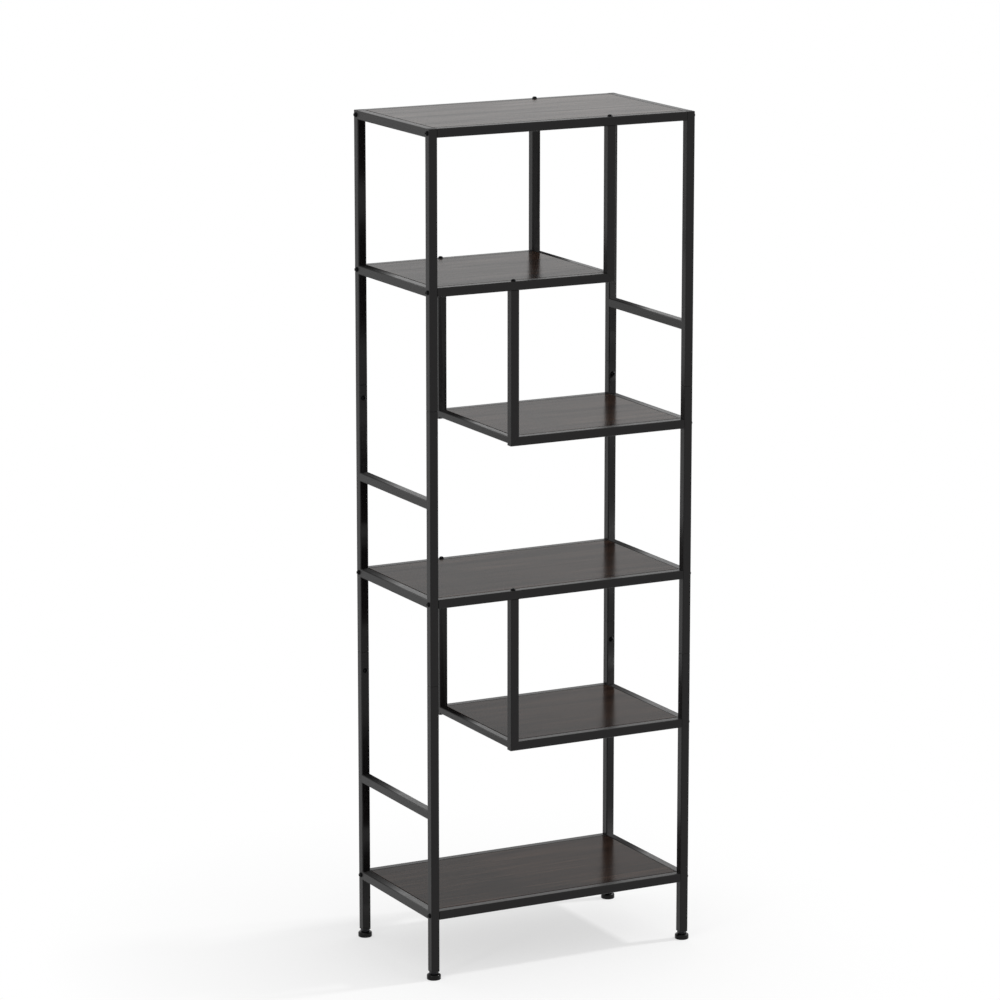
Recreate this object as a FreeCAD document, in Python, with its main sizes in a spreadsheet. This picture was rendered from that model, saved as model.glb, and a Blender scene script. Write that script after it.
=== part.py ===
import FreeCAD, Part
import os
import re
import Sketcher

# Zigzag bookshelf: X is the width, Y the depth (front at -Y), Z up, origin on the floor in the middle.

# Driving sizes in millimetres
SIZES = {
    "width": 620,
    "depth": 350,
    "height": 1800,
    "shelf_pitch": 326.5,
    "lowest_pitch": 345,
    "leg_height": 149,
    "partial_length": 432,
    "tube": 19,
    "tube_wall": 1.2,
    "tube_corner": 1.3,
    "end_tube": 15,
    "end_plate": 6,
    "spacer_drop": 117,
    "low_spacer_drop": 127.5,
    "upper_section": 582,
    "middle_section": 581,
    "upper_splice_drop": 28,
    "lower_splice_drop": 41,
    "splice_reach": 55,
    "splice_wall": 1.5,
    "splice_clearance": 0.15,
    "bolt_radius": 3,
    "bolt_length": 30,
    "splice_bolt_length": 10,
    "bolt_clearance": 0.4,
    "thread_clearance": 0.05,
    "head_radius": 5.5,
    "crown_radius": 3.2,
    "head_height": 3.8,
    "board_thickness": 15,
    "board_gap": 0.8,
    "tab_inset": 90,
    "tab_width": 24,
    "tab_reach": 18,
    "tab_thickness": 1.5,
    "screw_reach": 10,
    "screw_radius": 1.75,
    "screw_length": 12,
    "screw_head_radius": 3.5,
    "screw_crown_radius": 2,
    "screw_head_height": 2,
    "end_plug_gap": 1.5,
    "foot_radius": 15,
    "foot_height": 11,
    "foot_shoulder": 3,
    "foot_toe": 1,
    "stud_radius": 4,
    "stud_length": 34,
    "stud_clearance": 0.05,
    "collar_radius": 10,
    "collar_height": 6,
    "pin_depth": 7,
    "pin_gap": 0.3,
    "post_plug_flange": 2,
    "post_plug_length": 30,
    "post_plug_clearance": 0.1,
}

# Fasteners and their holes repeat over a hundred times, so they have few sides
BOLT_SIDES = 8
SCREW_SIDES = 6
COLLAR_SIDES = 6
STUD_SIDES = 12
FOOT_SIDES = 24
EDGE_TOLERANCE = 0.001

doc = FreeCAD.newDocument("zigzag_bookshelf")
Vector = FreeCAD.Vector
Rotation = FreeCAD.Rotation
nodes = []

sheet = doc.addObject("Spreadsheet::Sheet", "sizes")
for row, (alias, value) in enumerate(SIZES.items(), start=1):
    sheet.set(f"A{row}", alias)
    sheet.set(f"B{row}", str(value))
    sheet.setAlias(f"B{row}", alias)
doc.recompute()

# Turns that point an object's own Z axis along a row axis
UPRIGHT = Rotation()
ALONG_X = Rotation(Vector(0, 1, 0), 90)
AGAINST_X = Rotation(Vector(0, 1, 0), -90)
ALONG_Y = Rotation(Vector(1, 0, 0), -90)
AGAINST_Y = Rotation(Vector(1, 0, 0), 90)
DOWN = Rotation(Vector(1, 0, 0), 180)

# Turns that lean an object's own X axis up or down by half a right angle
RISING_X = Rotation(Vector(0, 1, 0), -45)
FALLING_X = Rotation(Vector(0, 1, 0), 45)

# Places that several pieces share, as expressions of the driving sizes
POST_X = "(width - tube) / 2"
POST_Y = "(depth - tube) / 2"
INSIDE_X = "(width / 2 - tube)"
INSIDE_Y = "(depth / 2 - tube)"
BORE = "(tube - 2 * tube_wall)"
POST_FOOT = "(foot_height + collar_height + post_plug_flange)"
UPPER_SEAM = "(height - upper_section)"
LOWER_SEAM = "(height - upper_section - middle_section)"
SIDES = {"left": "-1", "right": "1"}
FACES = {"front": "-1", "back": "1"}

# Shelf tops: three are set from the top, two from the floor, and the middle one halves what lies between
LEVELS = {
    "top": "height",
    "upper_left": "(height - shelf_pitch)",
    "upper_right": "(height - 2 * shelf_pitch)",
    "middle": "((height - 2 * shelf_pitch + leg_height + lowest_pitch) / 2)",
    "lower_right": "(leg_height + lowest_pitch)",
    "bottom": "leg_height",
}
SIDE_SHELVES = {
    "left": ("top", "upper_left", "middle", "bottom"),
    "right": ("top", "upper_right", "middle", "lower_right", "bottom"),
}
# The free end of each part-width shelf hangs from the rails of the shelf named beside it
PARTIAL = {"upper_left": "top", "upper_right": "upper_left", "lower_right": "middle"}
HANGER_X = {
    "upper_left": "(partial_length - (width + tube) / 2)",
    "upper_right": "((width + tube) / 2 - partial_length)",
    "lower_right": "((width + tube) / 2 - partial_length)",
}


def bind(item, prop, text):
    def named(match):
        word = match.group()
        return f"sizes.{word}" if word in SIZES else word

    item.setExpression(prop, re.sub(r"[a-z_]+", named, text))


def place(item, x, y, z, turn=UPRIGHT):
    item.Placement = FreeCAD.Placement(Vector(), turn)
    for axis, text in zip("xyz", (x, y, z)):
        bind(item, f"Placement.Base.{axis}", text)
    return item


def node(item, label):
    item.Label = label
    nodes.append(item)
    return item


def group(name, items):
    compound = doc.addObject("Part::Compound", name)
    compound.Links = items
    return compound


def cut(name, base, tools):
    result = doc.addObject("Part::Cut", name)
    result.Base = base
    result.Tool = group(f"{name}_tools", tools)
    return result


def fuse(name, items):
    result = doc.addObject("Part::MultiFuse", name)
    result.Shapes = items
    return result


def box(name, length, width, height, x, y, z, turn=UPRIGHT):
    item = doc.addObject("Part::Box", name)
    bind(item, "Length", length)
    bind(item, "Width", width)
    bind(item, "Height", height)
    return place(item, x, y, z, turn)


def cylinder(name, radius, height, x, y, z):
    item = doc.addObject("Part::Cylinder", name)
    bind(item, "Radius", radius)
    bind(item, "Height", height)
    return place(item, x, y, z)


def prism(name, radius, height, x, y, z, turn=UPRIGHT, sides=BOLT_SIDES):
    item = doc.addObject("Part::Prism", name)
    item.Polygon = sides
    bind(item, "Circumradius", radius)
    bind(item, "Height", height)
    return place(item, x, y, z, turn)


# Tube sections: a square whose rolled corners are 45 degree flats, with a square bore if it is open
def add_loop(sketch, corners):
    lines = [Part.LineSegment(a, b) for a, b in zip(corners, corners[1:] + corners[:1])]
    ids = [sketch.addGeometry(line) for line in lines]
    for here, after in zip(ids, ids[1:] + ids[:1]):
        sketch.addConstraint(Sketcher.Constraint("Coincident", here, 2, after, 1))
    return ids


def span(sketch, kind, start, end, text):
    index = sketch.addConstraint(Sketcher.Constraint(kind, *start, *end, SIZES["tube_corner"]))
    bind(sketch, f"Constraints[{index}]", text)


def square_up(sketch, bottom, right, top, left, side):
    for line in (bottom, top):
        sketch.addConstraint(Sketcher.Constraint("Horizontal", line))
    for line in (right, left):
        sketch.addConstraint(Sketcher.Constraint("Vertical", line))
    span(sketch, "DistanceX", (left, 1), (right, 1), side)
    span(sketch, "DistanceY", (bottom, 1), (top, 1), side)
    sketch.addConstraint(Sketcher.Constraint("Symmetric", bottom, 1, top, 1, -1, 1))


def section(name, side, bore=None, corner="tube_corner"):
    sketch = doc.addObject("Sketcher::SketchObject", name)
    half = SIZES["tube"] / 2
    inset = half - SIZES["tube_corner"]
    quarters = [Rotation(Vector(0, 0, 1), 90 * number) for number in range(4)]
    if corner:
        up, down = (1, 2), (2, 1)
        edge = (Vector(-inset, -half, 0), Vector(inset, -half, 0))
        ids = add_loop(sketch, [turn.multVec(point) for turn in quarters for point in edge])
        square_up(sketch, *ids[0::2], side)
        for flat, x_ends, y_ends in zip(ids[1::2], (up, down, down, up), (up, up, down, down)):
            span(sketch, "DistanceX", (flat, x_ends[0]), (flat, x_ends[1]), corner)
            span(sketch, "DistanceY", (flat, y_ends[0]), (flat, y_ends[1]), corner)
    else:
        ids = add_loop(sketch, [turn.multVec(Vector(-half, -half, 0)) for turn in quarters])
        square_up(sketch, *ids, side)
    if bore:
        ids = add_loop(sketch, [turn.multVec(Vector(-inset, -inset, 0)) for turn in quarters])
        square_up(sketch, *ids, bore)
    return sketch


solid_section = section("solid_section", "tube")
tube_section = section("tube_section", "tube", BORE)
end_section = section("end_section", "end_tube", "end_tube - 2 * tube_wall")
sleeve_side = f"({BORE} - 2 * splice_clearance)"
sleeve_section = section("sleeve_section", sleeve_side, f"{sleeve_side} - 2 * splice_wall", None)


def extrude(name, profile, length, x, y, z, turn=UPRIGHT):
    bar = doc.addObject("Part::Extrusion", name)
    bar.Base = profile
    bar.DirMode = "Normal"
    bar.Solid = True
    bar.FaceMakerClass = "Part::FaceMakerBullseye"
    bind(bar, "LengthFwd", length)
    return place(bar, x, y, z, turn)


# Holes for the shelf bolts of each corner, which its posts and splice sleeves share
bolt_holes = {}
for side, shelves in SIDE_SHELVES.items():
    for face, sign in FACES.items():
        x = f"{SIDES[side]} * {POST_X} - tube"
        y = f"{sign} * {POST_Y}"
        bolt_holes[side, face] = []
        for shelf in shelves:
            name = f"{face}_{side}_{shelf}_hole"
            z = f"{LEVELS[shelf]} - tube / 2"
            hole = prism(name, "bolt_radius + bolt_clearance", "2 * tube", x, y, z, ALONG_X)
            bolt_holes[side, face].append(hole)

# Side frames: two posts each, three sections stacked on either side, with the cross rails welded between
SPACERS = {
    "left": [f"{LEVELS['upper_right']} - spacer_drop", f"{LEVELS['lower_right']} - low_spacer_drop"],
    "right": [f"{LEVELS['upper_left']} - spacer_drop"],
}
SECTIONS = {
    "upper": (UPPER_SEAM, "height", None),
    "middle": (LOWER_SEAM, UPPER_SEAM, f"{UPPER_SEAM} - upper_splice_drop"),
    "lower": (POST_FOOT, LOWER_SEAM, f"{LOWER_SEAM} - lower_splice_drop"),
}


def post(name, side, face, bottom, top, splice_bolt):
    x = f"{SIDES[side]} * {POST_X}"
    y = f"{FACES[face]} * {POST_Y}"
    holes = list(bolt_holes[side, face])
    if splice_bolt:
        inward = ALONG_Y if face == "front" else AGAINST_Y
        hole_radius = "bolt_radius + bolt_clearance"
        holes.append(prism(f"{name}_splice_hole", hole_radius, "tube", x, y, splice_bolt, inward))
    bar = extrude(f"{name}_tube", tube_section, f"{top} - {bottom}", x, y, bottom)
    return cut(name, bar, holes)


for side, sign in SIDES.items():
    x = f"{sign} * {POST_X}"
    cross_rails = []
    tops = [LEVELS[shelf] for shelf in SIDE_SHELVES[side]] + SPACERS[side]
    for number, top in enumerate(tops, start=1):
        name = f"{side}_cross_rail_{number}"
        z = f"{top} - tube / 2"
        cross_rails.append(extrude(name, tube_section, f"2 * {INSIDE_Y}", x, f"-{INSIDE_Y}", z, ALONG_Y))
    for part, ends in SECTIONS.items():
        posts = [post(f"{side}_{part}_{face}_post", side, face, *ends) for face in FACES]
        doc.recompute()
        reach = posts[0].Shape.BoundBox
        held = [rail for rail in cross_rails if reach.ZMin < rail.Placement.Base.z < reach.ZMax]
        node(group(f"{side}_{part}_group", posts + held), f"{side}_{part}_frame")


# A part-width shelf's rail and its hanger meet in a welded mitre, from the corner's outer bottom edge
# to its inner top edge; each tool takes away what lies beyond that plane
def mitre(name, shelf, face, of_rail):
    low = f"{LEVELS[shelf]} - tube"
    y = f"{FACES[face]} * {POST_Y} - tube"
    size = "2 * tube"
    if shelf == "upper_left":
        x = f"{HANGER_X[shelf]} + tube / 2 - sqrt(2) * tube"
        if of_rail:
            return box(name, size, size, size, x, y, f"{low} + sqrt(2) * tube", FALLING_X)
        return box(name, size, size, size, f"{x} - sqrt(2) * tube", y, low, FALLING_X)
    x = f"{HANGER_X[shelf]} - tube / 2"
    if of_rail:
        return box(name, size, size, size, x, y, low, RISING_X)
    return box(name, size, size, size, f"{x} + sqrt(2) * tube", y, f"{low} - sqrt(2) * tube", RISING_X)


# Shelf rails: closed by a tapped plate at each post, with two tabs each that carry the board
def rail_span(shelf):
    start = f"-{INSIDE_X}"
    end = INSIDE_X
    if shelf == "upper_left":
        end = f"({HANGER_X[shelf]} + tube / 2)"
    elif shelf in PARTIAL:
        start = f"({HANGER_X[shelf]} - tube / 2)"
    return start, end


def tab_places(shelf):
    start, end = rail_span(shelf)
    first, last = f"{start} + tab_inset", f"{end} - tab_inset"
    if shelf == "upper_left":
        last += " - tube"
    elif shelf in PARTIAL:
        first += " + tube"
    return first, last


def shelf_rail(shelf, face):
    name = f"{shelf}_{face}_rail"
    start, end = rail_span(shelf)
    length = f"({end} - {start})"
    y = f"{FACES[face]} * {POST_Y}"
    z = f"{LEVELS[shelf]} - tube / 2"
    closed = {"left": "end_plate", "right": "end_plate"}
    if shelf in PARTIAL:
        closed["right" if shelf == "upper_left" else "left"] = "tube_wall"
    bar = extrude(f"{name}_bar", solid_section, length, start, y, z, ALONG_X)
    hollow = box(
        f"{name}_hollow", f"{length} - {closed['left']} - {closed['right']}", BORE, BORE,
        f"{start} + {closed['left']}", f"{y} - {BORE} / 2", f"{z} - {BORE} / 2",
    )
    tools = [hollow]
    for side, x in (("left", start), ("right", f"{end} - 2 * end_plate")):
        if closed[side] == "end_plate":
            radius = "bolt_radius + thread_clearance"
            tools.append(prism(f"{name}_{side}_tap", radius, "2 * end_plate", x, y, z, ALONG_X))
    for hung, carrier in PARTIAL.items():
        if carrier == shelf:
            tools.append(prism(
                f"{name}_hanger_hole", "bolt_radius + bolt_clearance", "2 * tube",
                HANGER_X[hung], y, f"{LEVELS[shelf]} - 1.5 * tube",
            ))
    if shelf in PARTIAL:
        tools.append(mitre(f"{name}_mitre", shelf, face, True))
    pieces = [cut(f"{name}_tube", bar, tools)]
    for number, x in enumerate(tab_places(shelf), start=1):
        pieces.append(support_tab(f"{name}_tab_{number}", shelf, face, x))
    return node(fuse(f"{name}_weldment", pieces), name)


def support_tab(name, shelf, face, x):
    root = f"({INSIDE_Y} + tube_wall)"
    reach = "(tab_reach + tube_wall)"
    low_y = f"-{root}" if face == "front" else f"{root} - {reach}"
    z = f"{LEVELS[shelf]} - board_thickness - tab_thickness"
    plate = box(f"{name}_plate", "tab_width", reach, "tab_thickness", f"{x} - tab_width / 2", low_y, z)
    screw_y = f"{FACES[face]} * ({INSIDE_Y} - screw_reach)"
    hole = prism(
        f"{name}_hole", "screw_radius + bolt_clearance", "3 * tab_thickness",
        x, screw_y, f"{z} - tab_thickness", UPRIGHT, SCREW_SIDES,
    )
    return cut(name, plate, [hole])


for shelf in LEVELS:
    for face in FACES:
        shelf_rail(shelf, face)


# Hanger frames: two hanging tubes, tapped at the top, with a smaller rail between their feet
def hanger(shelf, face):
    name = f"{shelf}_{face}_hanger"
    x = HANGER_X[shelf]
    y = f"{FACES[face]} * {POST_Y}"
    foot = f"{LEVELS[shelf]} - tube"
    length = f"({LEVELS[PARTIAL[shelf]]} - {LEVELS[shelf]})"
    bar = extrude(f"{name}_bar", solid_section, length, x, y, foot)
    hollow = box(
        f"{name}_hollow", BORE, BORE, f"{length} - end_plate - tube_wall",
        f"{x} - {BORE} / 2", f"{y} - {BORE} / 2", f"{foot} + tube_wall",
    )
    top = f"{foot} + {length} - 2 * end_plate"
    tap = prism(f"{name}_tap", "bolt_radius + thread_clearance", "2 * end_plate", x, y, top)
    return cut(name, bar, [hollow, tap, mitre(f"{name}_mitre", shelf, face, False)])


for shelf in PARTIAL:
    outward = "1" if shelf == "upper_left" else "-1"
    tubes = [hanger(shelf, face) for face in FACES]
    x = f"{HANGER_X[shelf]} + {outward} * (tube - end_tube) / 2"
    z = f"{LEVELS[shelf]} - end_tube / 2"
    name = f"{shelf}_end_rail"
    tubes.append(extrude(name, end_section, f"2 * {INSIDE_Y}", x, f"-{INSIDE_Y}", z, ALONG_Y))
    node(group(f"{shelf}_hanger_group", tubes), f"{shelf}_hanger_frame")


# Boards: flush with the rails' tops, resting on the tabs
def board_span(shelf):
    start = f"(board_gap - {INSIDE_X})"
    end = f"({INSIDE_X} - board_gap)"
    if shelf == "upper_left":
        end = f"({HANGER_X[shelf]} + tube / 2 - end_tube - board_gap)"
    elif shelf in PARTIAL:
        start = f"({HANGER_X[shelf]} - tube / 2 + end_tube + board_gap)"
    return start, end


for shelf, level in LEVELS.items():
    start, end = board_span(shelf)
    half_depth = f"({INSIDE_Y} - board_gap)"
    board = box(
        f"{shelf}_panel", f"{end} - {start}", f"2 * {half_depth}", "board_thickness",
        start, f"-{half_depth}", f"{level} - board_thickness",
    )
    node(board, f"{shelf}_board")


# Button-head fasteners: the head's underside lies at the fastener's own origin
def fastener(name, sides, shank_radius, shank_length, head_radius, crown_radius, head_height):
    shank = prism(
        f"{name}_shank", shank_radius, f"{shank_length} + {head_height} / 2",
        "0", "0", f"-{head_height} / 2", UPRIGHT, sides,
    )
    rings = []
    for ring, radius, z in (("rim", head_radius, "0"), ("crown", crown_radius, f"-{head_height}")):
        polygon = doc.addObject("Part::RegularPolygon", f"{name}_{ring}")
        polygon.Polygon = sides
        bind(polygon, "Circumradius", radius)
        rings.append(place(polygon, "0", "0", z))
    head = doc.addObject("Part::Loft", f"{name}_head")
    head.Sections = rings
    head.Solid = True
    head.Ruled = True
    return fuse(name, [shank, head])


def copies(label, pattern, places):
    links = []
    for number, spot in enumerate(places, start=1):
        link = doc.addObject("App::Link", f"{label}_{number}")
        link.LinkedObject = pattern
        links.append(place(link, *spot))
    return node(group(f"{label}_group", links), label)


bolt_head = ("head_radius", "crown_radius", "head_height")
screw_head = ("screw_head_radius", "screw_crown_radius", "screw_head_height")
frame_bolt = fastener("frame_bolt", BOLT_SIDES, "bolt_radius", "bolt_length", *bolt_head)
splice_bolt = fastener("splice_bolt", BOLT_SIDES, "bolt_radius", "splice_bolt_length", *bolt_head)
board_screw = fastener("board_screw", SCREW_SIDES, "screw_radius", "screw_length", *screw_head)

rail_bolt_places = []
for side, shelves in SIDE_SHELVES.items():
    inward = ALONG_X if side == "left" else AGAINST_X
    for shelf in shelves:
        for face in FACES.values():
            z = f"{LEVELS[shelf]} - tube / 2"
            rail_bolt_places.append((f"{SIDES[side]} * width / 2", f"{face} * {POST_Y}", z, inward))
copies("rail_bolts", frame_bolt, rail_bolt_places)

hanger_bolt_places = []
for shelf, carrier in PARTIAL.items():
    for face in FACES.values():
        hanger_bolt_places.append((HANGER_X[shelf], f"{face} * {POST_Y}", LEVELS[carrier], DOWN))
copies("hanger_bolts", frame_bolt, hanger_bolt_places)

splice_bolt_places = []
sleeve_places = []
for drop, seam in (("upper_splice_drop", UPPER_SEAM), ("lower_splice_drop", LOWER_SEAM)):
    for side in SIDES:
        for face, sign in FACES.items():
            outward = ALONG_Y if face == "back" else AGAINST_Y
            x = f"{SIDES[side]} * {POST_X}"
            splice_bolt_places.append((x, f"{sign} * {INSIDE_Y}", f"{seam} - {drop}", outward))
            sleeve_places.append((side, face, seam, f"{seam} - {drop}"))
copies("splice_bolts", splice_bolt, splice_bolt_places)

# Splice sleeves: short tubes inside the posts that bridge each seam and are tapped for its bolt
sleeves = []
for number, (side, face, seam, bolt) in enumerate(sleeve_places, start=1):
    x = f"{SIDES[side]} * {POST_X}"
    y = f"{FACES[face]} * {POST_Y}"
    inward = AGAINST_Y if face == "back" else ALONG_Y
    bar = extrude(f"sleeve_{number}_tube", sleeve_section, "2 * splice_reach", x, y, f"{seam} - splice_reach")
    tap = prism(f"sleeve_{number}_tap", "bolt_radius + thread_clearance", "tube", x, y, bolt, inward)
    sleeves.append(cut(f"sleeve_{number}", bar, bolt_holes[side, face] + [tap]))
node(group("splice_sleeve_group", sleeves), "splice_sleeves")

board_screw_places = []
for shelf, level in LEVELS.items():
    for x in tab_places(shelf):
        for face in FACES.values():
            y = f"{face} * ({INSIDE_Y} - screw_reach)"
            board_screw_places.append((x, y, f"{level} - board_thickness - tab_thickness"))
copies("board_screws", board_screw, board_screw_places)

# End plugs: flush in the tops of the posts, clear of the bolts there
plug_depth = "(tube / 2 - bolt_radius - end_plug_gap)"
end_plug = box("end_plug", BORE, BORE, plug_depth, f"-{BORE} / 2", f"-{BORE} / 2", "0")
end_plug_pattern = group("end_plug_pattern", [end_plug])
end_plug_places = []
for face in FACES.values():
    y = f"{face} * {POST_Y}"
    for side in SIDES.values():
        end_plug_places.append((f"{side} * {POST_X}", y, f"height - {plug_depth}"))
copies("tube_end_plugs", end_plug_pattern, end_plug_places)

# Levelling feet: a threaded plug in the post, a stud with a hexagon collar and a round base
plug_side = f"({BORE} - 2 * post_plug_clearance)"
plug_flange = extrude("plug_flange", solid_section, "post_plug_flange", "0", "0", "0")
plug_block = box(
    "plug_block", plug_side, plug_side, "post_plug_length + post_plug_flange",
    f"-{plug_side} / 2", f"-{plug_side} / 2", "0",
)
plug_bore = prism(
    "plug_bore", f"(stud_radius + stud_clearance) / cos(180 deg / {STUD_SIDES})",
    "post_plug_length + post_plug_flange", "0", "0", "0", UPRIGHT, STUD_SIDES,
)
post_plug = cut("post_plug", fuse("plug_body", [plug_flange, plug_block]), [plug_bore])

stud_pin = cylinder("stud_pin", "stud_radius", "pin_depth + collar_height / 2", "0", "0", "-pin_depth")
stud_collar = prism(
    "stud_collar", "collar_radius", "collar_height", "0", "0", "0", UPRIGHT, COLLAR_SIDES,
)
stud_thread = prism(
    "stud_thread", "stud_radius", "stud_length + collar_height / 2",
    "0", "0", "collar_height / 2", UPRIGHT, STUD_SIDES,
)
foot_stud = fuse("foot_stud", [stud_pin, stud_collar, stud_thread])


# The base is a disc with few sides, chamfered round its sole and more deeply round its shoulder
def chamfer_rim(name, base, height, size):
    doc.recompute()
    rim = []
    for number, edge in enumerate(base.Shape.Edges, start=1):
        if all(abs(vertex.Z - height) < EDGE_TOLERANCE for vertex in edge.Vertexes):
            rim.append((number, size, size))
    chamfer = doc.addObject("Part::Chamfer", name)
    chamfer.Base = base
    chamfer.Edges = rim
    return chamfer


foot_disc = prism("foot_disc", "foot_radius", "foot_height", "0", "0", "0", UPRIGHT, FOOT_SIDES)
foot_soled = chamfer_rim("foot_soled", foot_disc, 0, SIZES["foot_toe"])
foot_shouldered = chamfer_rim("foot_shouldered", foot_soled, SIZES["foot_height"], SIZES["foot_shoulder"])
socket_depth = "(pin_depth + pin_gap)"
foot_socket = cylinder(
    "foot_socket", "stud_radius + stud_clearance", socket_depth, "0", "0", f"foot_height - {socket_depth}",
)
foot_base = cut("foot_base", foot_shouldered, [foot_socket])

post_plug_places = []
for side, sign_x in SIDES.items():
    for face, sign_y in FACES.items():
        x = f"{sign_x} * {POST_X}"
        y = f"{sign_y} * {POST_Y}"
        post_plug_places.append((x, y, "foot_height + collar_height"))
        for pattern, z, kind in ((foot_base, "0", "foot"), (foot_stud, "foot_height", "foot_stud")):
            link = doc.addObject("App::Link", f"{face}_{side}_{kind}_link")
            link.LinkedObject = pattern
            node(place(link, x, y, z), f"{face}_{side}_{kind}")
copies("post_plugs", post_plug, post_plug_places)

# Every object has to be sound before anything is written
doc.recompute()
for item in doc.Objects:
    if {"Invalid", "Error"} & set(item.State):
        raise RuntimeError(f"{item.Label} failed to build")

os.makedirs("parts", exist_ok=True)
for item in nodes:
    shape = Part.getShape(item)
    if shape.isNull() or not shape.isValid():
        raise RuntimeError(f"{item.Label} has no valid shape")
    shape.exportStep(f"parts/{item.Label}.step")
    print(item.Label, len(shape.Solids), "solids", round(shape.Volume), "mm3")
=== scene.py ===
import math
import bmesh
import bpy
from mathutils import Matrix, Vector


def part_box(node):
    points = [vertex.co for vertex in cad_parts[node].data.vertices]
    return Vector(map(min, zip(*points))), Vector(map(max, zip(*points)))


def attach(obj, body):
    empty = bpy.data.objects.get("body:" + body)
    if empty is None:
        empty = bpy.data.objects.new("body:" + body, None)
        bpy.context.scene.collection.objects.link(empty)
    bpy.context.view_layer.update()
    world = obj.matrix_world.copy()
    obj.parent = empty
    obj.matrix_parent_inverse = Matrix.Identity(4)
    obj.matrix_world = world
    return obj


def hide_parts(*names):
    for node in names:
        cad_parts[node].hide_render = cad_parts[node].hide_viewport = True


# Zigzag bookshelf in metres: X is the width, Y the depth with the front at -Y, Z up
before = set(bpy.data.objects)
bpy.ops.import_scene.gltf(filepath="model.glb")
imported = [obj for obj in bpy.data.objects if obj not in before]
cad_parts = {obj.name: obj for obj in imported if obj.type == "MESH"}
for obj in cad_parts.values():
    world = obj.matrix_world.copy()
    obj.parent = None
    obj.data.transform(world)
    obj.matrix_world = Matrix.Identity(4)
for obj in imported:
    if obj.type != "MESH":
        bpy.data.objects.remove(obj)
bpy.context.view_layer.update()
scene = bpy.context.scene
scene.view_settings.view_transform = "Standard"
mm = 0.001
alongX, alongY, alongZ = 0, 1, 2
print("frame loaded:", len(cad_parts), "nodes")

# Camera: a long lens above the top shelf, turned to the shelf's left front corner
photoCamera = {
    "imageWidth": 1000,      # pixels across the photograph's frame
    "focalPixels": 4500,
    "sensorWidth": 36,       # millimetres
    "farthest": 100,         # metres
    "place": (-4.366, -8.246, 3.000),
    "yaw": 27.590,           # degrees to the right of +Y
    "pitch": 12.278,         # degrees down
}


def placeCamera(spec):
    lens = bpy.data.cameras.new("photoCamera")
    lens.sensor_width = spec["sensorWidth"]
    lens.lens = spec["focalPixels"] / spec["imageWidth"] * spec["sensorWidth"]
    lens.clip_end = spec["farthest"]
    camera = bpy.data.objects.new("photoCamera", lens)
    camera.location = spec["place"]
    camera.rotation_euler = (math.radians(90 - spec["pitch"]), 0, -math.radians(spec["yaw"]))
    scene.collection.objects.link(camera)
    scene.camera = camera


placeCamera(photoCamera)


def addNode(tree, kind, settings=None, inputs=None):
    node = tree.nodes.new(kind)
    for name, value in (settings or {}).items():
        setattr(node, name, value)
    for name, value in (inputs or {}).items():
        for item in value if isinstance(value, list) else [value]:
            if isinstance(item, bpy.types.NodeSocket):
                tree.links.new(item, node.inputs[name])
            else:
                node.inputs[name].default_value = item
    return node


def linearColor(code):
    channels = [int(code[i:i + 2], 16) / 255 for i in (1, 3, 5)]
    linear = [c / 12.92 if c <= 0.04045 else ((c + 0.055) / 1.055) ** 2.4 for c in channels]
    return (*linear, 1)


def newMaterial(name, color):
    material = bpy.data.materials.new(name)
    material.use_nodes = True
    material.diffuse_color = linearColor(color)
    tree = material.node_tree
    shader = tree.nodes["Principled BSDF"]
    shader.inputs["Base Color"].default_value = linearColor(color)
    return material, tree, shader


def perMetre(size):
    return 1 / (size * mm)


# A Mix node's sockets share their names, so they are told apart by number
floatA, floatB, floatMixed = 2, 3, 0
colorA, colorB, colorMixed = 6, 7, 2
noiseSpan = {"From Min": 0.3, "From Max": 0.7}       # holds nearly all of a noise texture's values
bumpStrength = 0.5

# Polyester powder coat on mild steel, sprayed and baked: near black, low sheen, and a pebbled
# skin that breaks up every highlight. Its 0.7 mm pebbles are too fine for the whole view, so a
# wider orange peel lies under them.
powderCoat = {
    "color": "#0f0e0f",
    "warm": "#141212",
    "specular": 0.2,
    "roughness": (0.27, 0.36),
    "pebble": 0.7,           # millimetres
    "peel": 5,
    "pebbleDepth": 0.02,
    "peelDepth": 0.06,
}


def powderCoatedSteel(spec):
    material, tree, shader = newMaterial("powderCoatedSteel", spec["color"])
    shader.inputs["Specular IOR Level"].default_value = spec["specular"]
    place = addNode(tree, "ShaderNodeTexCoord").outputs["Object"]
    pebble = addNode(tree, "ShaderNodeTexNoise", inputs={
        "Vector": place, "Scale": perMetre(spec["pebble"]), "Detail": 2})
    peel = addNode(tree, "ShaderNodeTexNoise", inputs={
        "Vector": place, "Scale": perMetre(spec["peel"]), "Detail": 3})
    tint = addNode(tree, "ShaderNodeMix", {"data_type": "RGBA"}, {
        "Factor": peel.outputs["Fac"],
        colorA: linearColor(spec["color"]), colorB: linearColor(spec["warm"])})
    tree.links.new(tint.outputs[colorMixed], shader.inputs["Base Color"])
    sheen = addNode(tree, "ShaderNodeMapRange", inputs={
        "Value": peel.outputs["Fac"], **noiseSpan,
        "To Min": spec["roughness"][0], "To Max": spec["roughness"][1]})
    tree.links.new(sheen.outputs["Result"], shader.inputs["Roughness"])
    wide = addNode(tree, "ShaderNodeBump", inputs={
        "Strength": bumpStrength, "Distance": spec["peelDepth"] * mm, "Height": peel.outputs["Fac"]})
    fine = addNode(tree, "ShaderNodeBump", inputs={
        "Strength": bumpStrength, "Distance": spec["pebbleDepth"] * mm,
        "Height": pebble.outputs["Fac"], "Normal": wide.outputs["Normal"]})
    tree.links.new(fine.outputs["Normal"], shader.inputs["Normal"])
    return material


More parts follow.
